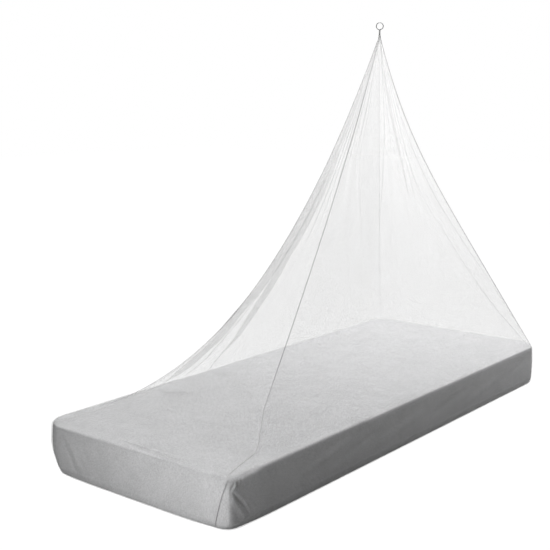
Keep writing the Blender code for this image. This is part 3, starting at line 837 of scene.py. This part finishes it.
def set_grid_uv(made, u, v):
    """UV map in metres of cloth, from one value of u and v for each vertex."""
    layer = made.data.uv_layers.new(name="cloth")
    index = np.empty(len(made.data.loops), dtype=np.int32)
    made.data.loops.foreach_get("vertex_index", index)
    pairs = np.column_stack((u[index], v[index])).astype(np.float32)
    layer.data.foreach_set("uv", pairs.ravel())


# ---- Materials ----


def add_node(tree, kind, inputs=None, give=0, **choices):
    """Add a node, and give one of its outputs.

    Its choices are made first, and its inputs are set to values or fed by sockets.
    """
    node = tree.nodes.new("ShaderNode" + kind)
    for name, choice in choices.items():
        setattr(node, name, choice)
    for key, value in (inputs or {}).items():
        if isinstance(value, bpy.types.NodeSocket):
            tree.links.new(value, node.inputs[key])
        else:
            node.inputs[key].default_value = value
    return node.outputs[give] if node.outputs else None


def math_value(tree, operation, first, second):
    """Two values combined."""
    return add_node(tree, "Math", {0: first, 1: second}, operation=operation)


def ranged(tree, value, source, target=(0.0, 1.0), curve="LINEAR"):
    """Value carried from one range to another."""
    ends = {"From Min": source[0], "From Max": source[1], "To Min": target[0], "To Max": target[1]}
    return add_node(
        tree, "MapRange", {"Value": value, **ends}, "Result", interpolation_type=curve)


def object_place(tree):
    """Place on the piece, in metres."""
    return add_node(tree, "TexCoord", give="Object")


def height_value(tree):
    """Height above the floor."""
    return add_node(tree, "SeparateXYZ", {"Vector": object_place(tree)}, "Z")


def noise_value(tree, scale, detail):
    """Noise over the piece."""
    inputs = {"Vector": object_place(tree), "Scale": scale, "Detail": detail}
    return add_node(tree, "TexNoise", inputs, "Fac")


def mixed_shader(tree, share, first, second):
    """Two shaders mixed, share being that of the second."""
    return add_node(tree, "MixShader", {"Fac": share, 1: first, 2: second})


def thread_shader(tree, colour):
    """Soft thread of the net."""
    inputs = {"Base Color": colour, "Roughness": 0.85, "Specular IOR Level": 0.2}
    return add_node(tree, "BsdfPrincipled", inputs)


def node_material(name):
    """Material with no nodes yet, and its node tree."""
    made = bpy.data.materials.new(name)
    made.use_nodes = True
    made.node_tree.nodes.clear()
    return made, made.node_tree


def set_surface(tree, shader):
    """Make a shader the material's surface."""
    add_node(tree, "OutputMaterial", {"Surface": shader})


def net_material(settings):
    """Fine rhombic net: threads on the cloth's own grid, clear between them."""
    made, tree = node_material("net_cloth")
    turned = add_node(tree, "Mapping", {
        "Vector": add_node(tree, "TexCoord", give="UV"),
        "Rotation": (0.0, 0.0, math.radians(45.0)),
        "Scale": (1 / settings.mesh_pitch,) * 3,
    })
    threads = []
    for axis in ("X", "Y"):
        across = add_node(tree, "SeparateXYZ", {"Vector": turned}, axis)
        wrapped = math_value(tree, "PINGPONG", across, 0.5)
        threads.append(math_value(tree, "LESS_THAN", wrapped, settings.thread_share / 2))
    thread = math_value(tree, "MAXIMUM", *threads)
    reach = settings.thread_opacity - settings.hole_opacity
    cover = math_value(tree, "MULTIPLY", thread, reach)
    cover = math_value(tree, "ADD", cover, settings.hole_opacity)
    uneven = ranged(tree, noise_value(tree, 260.0, 2.0), (0.30, 0.70), (0.1, 1.9))
    alpha = math_value(tree, "MULTIPLY", cover, uneven)
    # Painted light by height: threads painted darker low down and paler towards the neck
    tint = add_node(tree, "Mix", {
        "Factor": ranged(tree, height_value(tree), PAINTED_LIGHT_HEIGHTS, curve="SMOOTHSTEP"),
        "A": (*settings.colour, 1.0),
        "B": (*settings.painted_light_top_colour, 1.0),
    }, "Result", data_type="RGBA")
    glow = add_node(tree, "BsdfTranslucent", {"Color": tint})
    thin = mixed_shader(tree, THREAD_GLOW, thread_shader(tree, tint), glow)
    set_surface(tree, mixed_shader(tree, alpha, add_node(tree, "BsdfTransparent"), thin))
    return made


def painted_light_over_bed(tree, colour, pale):
    """Colour by height, painted light: pale just over the lit top of the bed, darker below and
    above it.
    """
    ramp = tree.nodes.new("ShaderNodeValToRGB")
    tree.links.new(height_value(tree), ramp.inputs["Fac"])
    stops = ((0.0, colour), (0.152, colour), (0.166, pale), (0.24, pale), (0.40, colour))
    while len(ramp.color_ramp.elements) < len(stops):
        ramp.color_ramp.elements.new(0.5)
    for element, (z, shade) in zip(ramp.color_ramp.elements, stops):
        element.position = z
        element.color = (*shade, 1.0)
    return ramp.outputs["Color"]


def cloth_material(name, colour, weave, bump, pale=None):
    """Woven cloth, faintly uneven, and painted paler over the lit top of the bed where it has a
    painted light colour.
    """
    made, tree = node_material(name)
    grain = noise_value(tree, weave, 3.0)
    slubs = noise_value(tree, weave * SLUB_SHARE, 2.0)
    broad = math_value(tree, "MULTIPLY", noise_value(tree, 14.0, 2.0), 0.2)
    both = math_value(tree, "ADD", math_value(tree, "ADD", grain, broad), slubs)
    tint = add_node(tree, "VectorMath", {
        0: tuple(colour) if pale is None else painted_light_over_bed(tree, colour, pale),
        "Scale": ranged(tree, both, (0.7, 1.5), (0.62, 1.38)),
    }, operation="SCALE")
    set_surface(tree, add_node(tree, "BsdfPrincipled", {
        "Base Color": tint,
        "Roughness": 0.9,
        "Specular IOR Level": 0.15,
        "Normal": add_node(tree, "Bump", {"Strength": 0.5, "Distance": bump, "Height": grain}),
    }))
    return made


def sheer_material(name, colour, opacity):
    """Strip of net folded several times over, so close that it's half clear."""
    made, tree = node_material(name)
    limits = (opacity - 0.2, opacity + 0.2)
    cover = ranged(tree, noise_value(tree, 1400.0, 2.0), (0.3, 0.7), limits)
    clear, thread = add_node(tree, "BsdfTransparent"), thread_shader(tree, (*colour, 1.0))
    set_surface(tree, mixed_shader(tree, cover, clear, thread))
    return made


def metal_material(colour):
    """Plated wire with slight wear."""
    made, tree = node_material("ring_metal")
    set_surface(tree, add_node(tree, "BsdfPrincipled", {
        "Base Color": (*colour, 1.0),
        "Metallic": 0.25,
        "Roughness": ranged(tree, noise_value(tree, 260.0, 3.0), (0.0, 1.0), (0.42, 0.58)),
    }))
    return made


# ---- Pieces ----


def hand_over(made, finish, node):
    """Give a piece its material, and put it in the place of its node on the one body."""
    made.data.materials.append(finish)
    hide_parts(node)
    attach(made, "root")
    return made


def travelled(points, axis):
    """Distance along rows or columns of points, from the first of each."""
    steps = np.linalg.norm(np.diff(points, axis=axis), axis=2)
    return np.insert(np.cumsum(steps, axis=axis), 0, 0.0, axis=axis)


def build_net(settings):
    """The four panels of net."""
    finish = net_material(settings)
    made = {}
    for side in SIDES:
        width = 2.0 * half_runs(side)[1]
        cloth = cloth_columns(side, int(width * settings.columns_per_metre))
        points = net_rows(side, cloth)
        faces = grid_faces(*points.shape[:2])
        panel = new_mesh("net_" + side, points.reshape(-1, 3), faces)
        along = travelled(points, 1)
        middle = np.argmin(np.abs(cloth - 0.5))
        along -= along[:, middle:middle + 1]
        set_grid_uv(panel, along.ravel(), travelled(points, 0).ravel())
        made[side] = (hand_over(panel, finish, "net_panel_" + side), points)
    return made


def seam_line(panels, first, second):
    """Line where two panels meet, and the outward direction along it."""
    line = (panels[first][1][:, -1] + panels[second][1][:, 0]) / 2
    inward = panels[first][1][:, -1 - SEAM_COLUMNS] + panels[second][1][:, SEAM_COLUMNS]
    down = unit(np.gradient(line, axis=0))
    outward = line - inward / 2
    outward = unit(outward - down * (outward * down).sum(1, keepdims=True))
    return line, outward, down


def build_seams(panels, settings):
    """The four bound seams, each a thin rounded tape along the line where two panels meet."""
    # The tape's colour holds painted light: paler where it lies over the lit top of the bed
    finish = cloth_material(
        "seam_tape", settings.colour, *TAPE_WEAVE, pale=settings.painted_light_tape_colour)
    angles = 2.0 * math.pi * np.arange(SEAM_SIDES)[:, None] / SEAM_SIDES
    made = {}
    for first, second, node, share in CORNERS:
        line, outward, down = seam_line(panels, first, second)
        sideways = unit(np.cross(down, outward))
        loops = []
        for k in range(1, len(line)):
            if line[k][2] < SEAM_END_Z or line[k][2] > BINDING_FOOT_Z:
                continue
            around = np.linalg.norm(line[k][:2] - NECK_AXIS)
            width = min(settings.seam_width, SEAM_NECK_WIDTH + SEAM_WIDENING * around) * share
            offsets = (sideways[k] * np.cos(angles) * width / 2
                       + outward[k] * np.sin(angles) * settings.seam_thickness / 2)
            loops.append(line[k] + outward[k] * SEAM_LIFT + offsets)
        made[node] = hand_over(swept_mesh(node + "_tape", loops), finish, node)
    return made


def mattress_outline(z):
    """Points round the mattress's outline, and their outward normals.

    z is one height, or one for each point.
    """
    places = [close_places(side) for side in SIDES]
    counts = [len(part) for part in places]
    levels = np.split(np.broadcast_to(z, sum(counts)), np.cumsum(counts)[:-1])
    found = [outline(side, part, level) for side, part, level in zip(SIDES, places, levels)]
    return np.concatenate([plan for plan, _ in found]), np.concatenate([n for _, n in found])


def build_mattress(settings):
    """The mattress in its plain cover."""
    high = np.concatenate([edge_fullness(side, close_places(side)) for side in SIDES])
    low = np.concatenate([foot_fullness(side, close_places(side)) for side in SIDES])
    nought = np.zeros_like(low)
    outs, heights = edge_section(0.0, nought, high, low, COVER_ARC_STEPS, COVER_SIDE_STEPS)
    section = list(zip(outs, heights))
    section += [(nought - RECESS_INSET, nought + RECESS_HEIGHT), (nought - RECESS_INSET, nought)]
    loops = []
    for out, z in section:
        plan, normal = mattress_outline(z)
        loops.append(np.column_stack((plan + normal * out[:, None], z)))
    plan, normal = mattress_outline(MATTRESS_TOP)
    top = nought + MATTRESS_TOP
    steps = np.arange(1, TOP_LOOPS + 1)
    insets = TOP_EDGE_RADIUS + TOP_LOOP_STEP * steps
    inner = [np.column_stack((plan - normal * inset, top)) for inset in insets]
    end = MATTRESS_LENGTH / 2 - SPINE_INSET
    middle = np.column_stack((np.clip(plan[:, 0], -end, end), nought, top))
    rim = inner[-1]
    for part in MIDDLE_SHARE * (steps / TOP_LOOPS) ** MIDDLE_POWER:
        inner.append(rim * (1.0 - part) + middle * part)
    loops = np.array(inner[::-1] + loops)
    body = swept_mesh("mattress_cover", loops)
    normals = np.empty(3 * len(body.data.vertices), dtype=np.float32)
    body.data.vertices.foreach_get("normal", normals)
    points = loops.reshape(-1, 3)
    lift = cover_relief(points, settings.welt_height)
    moved = points + normals.reshape(-1, 3) * lift[:, None]
    body.data.vertices.foreach_set("co", moved.astype(np.float32).ravel())
    body.data.update()
    finish = cloth_material("cover_cloth", settings.colour, *COVER_WEAVE)
    hand_over(body, finish, "mattress")


def begin(add, **sizes):
    """Add a primitive with nothing else selected, and open it in edit mode."""
    bpy.ops.object.select_all(action="DESELECT")
    add(**sizes)
    bpy.ops.object.mode_set(mode="EDIT")
    return bpy.context.active_object


def end_piece(made, name, finish, node):
    """Close edit mode, put the piece's origin at the scene's, and hand it to the frame."""
    bpy.ops.object.mode_set(mode="OBJECT")
    bpy.ops.object.transform_apply(location=True, rotation=True, scale=True)
    made.name = name
    made.data.name = name
    face_outward(made)
    bpy.ops.object.shade_smooth_by_angle(angle=math.radians(SMOOTH_ANGLE))
    hand_over(made, finish, node)


def build_binding(settings):
    """Binding round the gathered net: a strip wound in close turns over a flared foot."""
    inner = NECK_RADIUS + BINDING_GAP
    outer = inner + BINDING_WALL
    flare = inner + BINDING_FLARE
    made = begin(
        bpy.ops.mesh.primitive_circle_add,
        vertices=BINDING_SIDES, radius=flare, location=(NECK_X, 0.0, BINDING_FOOT_Z))
    top = BINDING_TOP_Z - BINDING_FOOT_Z
    pitch = (top - BINDING_ENDS) / BINDING_TURNS
    profile = [(outer + wide, rise) for wide, rise in BINDING_LIP]
    for i in range(BINDING_TURNS):
        rise = BINDING_TURNS_Z + (top - BINDING_ENDS) * i / BINDING_TURNS
        waist = outer + BINDING_WAIST - BINDING_TAPER * i / BINDING_TURNS
        profile += [(waist + wide, rise + pitch * part) for wide, part in TURN_PROFILE]
    profile += [(outer + wide, top + rise) for wide, rise in BINDING_MOUTH]
    profile.append((inner, top - MOUTH_DIP))
    radius, height = flare, 0.0
    for wide, rise in profile:
        bpy.ops.mesh.extrude_region_move(
            TRANSFORM_OT_translate={"value": (0.0, 0.0, rise - height)})
        grow = wide / radius
        bpy.ops.transform.resize(
            value=(grow, grow, 1.0), center_override=(NECK_X, 0.0, BINDING_FOOT_Z + rise))
        radius, height = wide, rise
    bpy.ops.mesh.select_all(action="DESELECT")
    bpy.ops.mesh.select_mode(type="EDGE")
    bpy.ops.mesh.select_non_manifold()
    bpy.ops.mesh.bridge_edge_loops()
    finish = sheer_material("binding_strip", settings.binding_colour, settings.binding_opacity)
    end_piece(made, "neck_binding_wrap", finish, "neck_binding")


def build_ring(settings):
    """Round wire ring with its ends welded together."""
    made = begin(
        bpy.ops.mesh.primitive_torus_add,
        align="WORLD", location=(NECK_X, 0.0, RING_CENTRE_Z),
        rotation=(math.pi / 2, 0.0, RING_TURN),
        major_segments=RING_STEPS, minor_segments=RING_WIRE_SIDES,
        major_radius=RING_RADIUS, minor_radius=RING_WIRE_RADIUS)
    bpy.ops.mesh.select_all(action="DESELECT")
    work = bmesh.from_edit_mesh(made.data)
    weld = Vector((-RING_RADIUS, 0.0, 0.0))
    for vertex in work.verts:
        vertex.select = abs(vertex.co.y) < WELD_REACH and vertex.co.x < 0.0
    work.select_flush_mode()
    bmesh.update_edit_mesh(made.data)
    centre = made.matrix_world @ weld
    bpy.ops.transform.resize(
        value=(WELD_GROWTH, WELD_GROWTH, 1.0), center_override=centre)
    end_piece(made, "ring_wire", metal_material(settings.ring_colour), "hanging_ring")


def loop_path():
    """Middle line of the tape loop in its own plane: sideways and height."""
    half = LOOP_TAPE_THICKNESS / 2
    top = RING_WIRE_RADIUS + LOOP_SLACK + half
    foot = LOOP_FOOT_HALF_GAP + half
    wire_z = RING_CENTRE_Z - RING_RADIUS
    foot_z = LOOP_FOOT_Z + LOOP_TAPE_THICKNESS + LOOP_FOOT_HALF_GAP
    over = math.pi * np.linspace(0.0, 1.0, LOOP_TOP_STEPS + 1)
    under = math.pi + math.pi * np.linspace(0.0, 1.0, LOOP_FOOT_STEPS + 1)
    part = np.arange(1, LOOP_LEG_STEPS) / LOOP_LEG_STEPS
    ease = smooth_step(0.0, 1.0, part)
    leg = top * (1.0 - ease) + foot * ease
    leg_z = wire_z * (1.0 - part) + (BINDING_TOP_Z + LOOP_SPREAD_RISE) * part
    return np.column_stack((
        np.concatenate((top * np.cos(over), -leg, foot * np.cos(under), leg[::-1])),
        np.concatenate((wire_z + top * np.sin(over), leg_z,
                        foot_z + foot * np.sin(under), leg_z[::-1]))))


def build_loop(settings):
    """Woven tape loop, held in the binding and round the bottom of the ring."""
    flat = np.array((math.cos(RING_TURN), math.sin(RING_TURN), 0.0))
    square = np.array((-math.sin(RING_TURN), math.cos(RING_TURN), 0.0))
    path = loop_path()
    ahead = unit(np.roll(path, -1, axis=0) - np.roll(path, 1, axis=0))
    angles = 2.0 * math.pi * np.arange(LOOP_SIDES) / LOOP_SIDES
    wide, deep = (
        np.copysign(np.abs(values) ** power, values)
        for values, power in zip((np.cos(angles), np.sin(angles)), LOOP_SQUARENESS))
    loops = []
    for (sideways, z), (run, rise) in zip(path, ahead):
        middle = square * sideways + np.array((NECK_X, 0.0, z))
        out = square * rise - np.array((0.0, 0.0, run))
        loops.append(middle + np.outer(wide, flat) * LOOP_TAPE_WIDTH / 2
                     + np.outer(deep, out) * LOOP_TAPE_THICKNESS / 2)
    finish = cloth_material("loop_weave", settings.loop_colour, *LOOP_WEAVE)
    hand_over(swept_mesh("loop_tape", loops, closed=True), finish, "hanging_loop")


# ---- Stage ----


def area_light(name, place, aim, size, power):
    """Soft square light that looks at a point and can't be seen itself."""
    data = bpy.data.lights.new(name, "AREA")
    data.shape = "SQUARE"
    data.size = size
    data.energy = power
    made = bpy.data.objects.new(name, data)
    bpy.context.scene.collection.objects.link(made)
    made.location = place
    made.rotation_euler = (Vector(aim) - Vector(place)).to_track_quat("-Z", "Y").to_euler()
    made.visible_camera = False


def camera_ray(tree):
    """1 where the camera looks straight at the surface."""
    return add_node(tree, "LightPath", give="Is Camera Ray")


def white_surround():
    """World that is white to look at and dim as a light."""
    world = bpy.data.worlds.new("surround")
    bpy.context.scene.world = world
    world.use_nodes = True
    tree = world.node_tree
    tree.nodes.clear()
    dim, white = (
        add_node(tree, "Background", {"Color": (1.0, 1.0, 1.0, 1.0), "Strength": strength})
        for strength in SURROUND_STRENGTHS)
    mixed = mixed_shader(tree, camera_ray(tree), dim, white)
    add_node(tree, "OutputWorld", {"Surface": mixed})


def floor_material():
    """Pale floor that reads white and holds a faint shadow."""
    made, tree = node_material("floor")
    share = math_value(tree, "MULTIPLY", camera_ray(tree), 0.95)
    pale = add_node(tree, "BsdfDiffuse", {"Color": (0.42, 0.42, 0.42, 1.0)})
    white = add_node(tree, "Emission", {"Strength": 1.06})
    set_surface(tree, mixed_shader(tree, share, pale, white))
    return made


def build_stage(settings):
    """Floor, light and camera."""
    corners = [(x * FLOOR_REACH, y * FLOOR_REACH, 0.0)
               for x, y in ((-1, -1), (1, -1), (1, 1), (-1, 1))]
    floor = new_mesh("floor", corners, [(0, 1, 2, 3)])
    floor.data.materials.append(floor_material())
    white_surround()
    for name, place, aim, size in LIGHTS:
        area_light(name, place, aim, size, getattr(settings, name + "_power"))
    scene = bpy.context.scene
    scene.view_settings.view_transform = "Standard"
    scene.view_settings.look = "None"
    scene.cycles.transparent_max_bounces = 64
    data = bpy.data.cameras.new("camera")
    data.lens = settings.lens
    data.sensor_width = CAMERA_SENSOR
    camera = bpy.data.objects.new("camera", data)
    scene.collection.objects.link(camera)
    camera.location = CAMERA_PLACE
    camera.rotation_euler = Euler(
        (math.radians(90.0 - CAMERA_DIP), 0.0, math.radians(-CAMERA_TURN)))
    scene.camera = camera


# ---- Operators ----


class CANOPY_OT_mattress(bpy.types.Operator):
    """Build the mattress in its cover"""

    bl_idname = "canopy.mattress"
    bl_label = "Mattress"

    def execute(self, context):
        build_mattress(context.scene.canopy_mattress)
        return {"FINISHED"}


class CANOPY_OT_net(bpy.types.Operator):
    """Hang the net panels and their bound seams"""

    bl_idname = "canopy.net"
    bl_label = "Net and seams"

    def execute(self, context):
        panels = build_net(context.scene.canopy_net)
        tapes = build_seams(panels, context.scene.canopy_tape)
        return {"FINISHED"}


class CANOPY_OT_neck(bpy.types.Operator):
    """Build the binding, the tape loop and the ring"""

    bl_idname = "canopy.neck"
    bl_label = "Neck, loop and ring"

    def execute(self, context):
        settings = context.scene.canopy_tape
        build_binding(settings)
        build_loop(settings)
        build_ring(settings)
        return {"FINISHED"}


class CANOPY_OT_stage(bpy.types.Operator):
    """Build the floor, the light and the camera"""

    bl_idname = "canopy.stage"
    bl_label = "Stage"

    def execute(self, context):
        build_stage(context.scene.canopy_stage)
        return {"FINISHED"}


class CANOPY_PT_panel(bpy.types.Panel):
    """Sidebar panel that lists the pieces"""

    bl_idname = "CANOPY_PT_panel"
    bl_label = "Canopy"
    bl_space_type = "VIEW_3D"
    bl_region_type = "UI"
    bl_category = "Canopy"

    def draw(self, context):
        for operator in OPERATORS:
            self.layout.operator(operator.bl_idname)


OPERATORS = (CANOPY_OT_mattress, CANOPY_OT_net, CANOPY_OT_neck, CANOPY_OT_stage)
SETTINGS = {
    "canopy_net": CanopyNetSettings,
    "canopy_tape": CanopyTapeSettings,
    "canopy_mattress": CanopyMattressSettings,
    "canopy_stage": CanopyStageSettings,
}


def register():
    """Register the settings, the operators and the panel."""
    for kind in (*SETTINGS.values(), *OPERATORS, CANOPY_PT_panel):
        bpy.utils.register_class(kind)
    for name, kind in SETTINGS.items():
        setattr(bpy.types.Scene, name, PointerProperty(type=kind))


def unregister():
    """Undo register."""
    for name in SETTINGS:
        delattr(bpy.types.Scene, name)
    for kind in reversed((*SETTINGS.values(), *OPERATORS, CANOPY_PT_panel)):
        bpy.utils.unregister_class(kind)


def main():
    """Build every piece and the stage."""
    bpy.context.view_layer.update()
    register()
    bpy.ops.canopy.mattress()
    bpy.ops.canopy.net()
    bpy.ops.canopy.neck()
    bpy.ops.canopy.stage()


if __name__ == "__main__":
    main()
